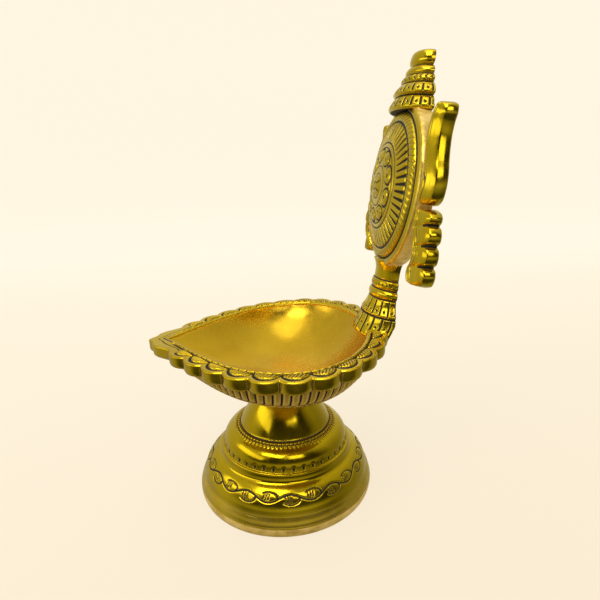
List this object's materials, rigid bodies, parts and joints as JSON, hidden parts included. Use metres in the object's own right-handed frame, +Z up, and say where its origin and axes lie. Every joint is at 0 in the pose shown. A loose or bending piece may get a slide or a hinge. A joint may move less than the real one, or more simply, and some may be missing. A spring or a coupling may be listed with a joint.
{
  "type": "oil lamp",
  "caption": "Footed brass oil lamp: leaf-shaped bowl with a pointed spout on a hollow pedestal, and a wheel medallion back plate with a crown and side flames.",
  "frame": {"origin": "centre of the foot ring, on the surface that the lamp stands on", "axes": "+Z up; the spout points to -Y and the back plate stands at +Y; +X is to the right of the spout seen from behind the plate"},
  "size_m": [0.089, 0.1026, 0.1621],
  "materials": {
    "pedestal_brass": "turned and polished brass with dark patina in the engraving and a duller as-cast foot rim",
    "bowl_brass": "polished border and satin hollow, dark patina in the petal border and flutes",
    "plate_brass": "chased and polished brass with dark patina in the grooves, as-cast edges",
    "screw_brass": "plain machined brass"
  },
  "bodies": {
    "pedestal": {"pedestal": "pedestal_brass"},
    "stud": {"bowl_stud": "screw_brass"},
    "bowl": {"bowl": "bowl_brass", "stem": "plate_brass", "stem_screw": "screw_brass", "stem_pin": "screw_brass", "chakra_disc": "plate_brass", "crown_finial": "plate_brass", "crown_pin": "screw_brass", "flame_right": "plate_brass", "flame_left": "plate_brass", "ribbon_right": "plate_brass", "ribbon_left": "plate_brass", "side_pins": "screw_brass"}
  },
  "joints": [
    {"name": "bowl_lift", "type": "slide", "parent": "pedestal", "child": "stud", "axis": [0, 0, 1], "range_m": [0, 0.008]},
    {"name": "bowl_turn", "type": "hinge", "parent": "stud", "child": "bowl", "pos_m": [0, 0, 0.042], "axis": [0, 0, 1], "range_deg": [0, 2304]}
  ],
  "couplings": [
    {"joint": "bowl_lift", "follows": "bowl_turn", "m_per_rad": 0.00019894}
  ]
}
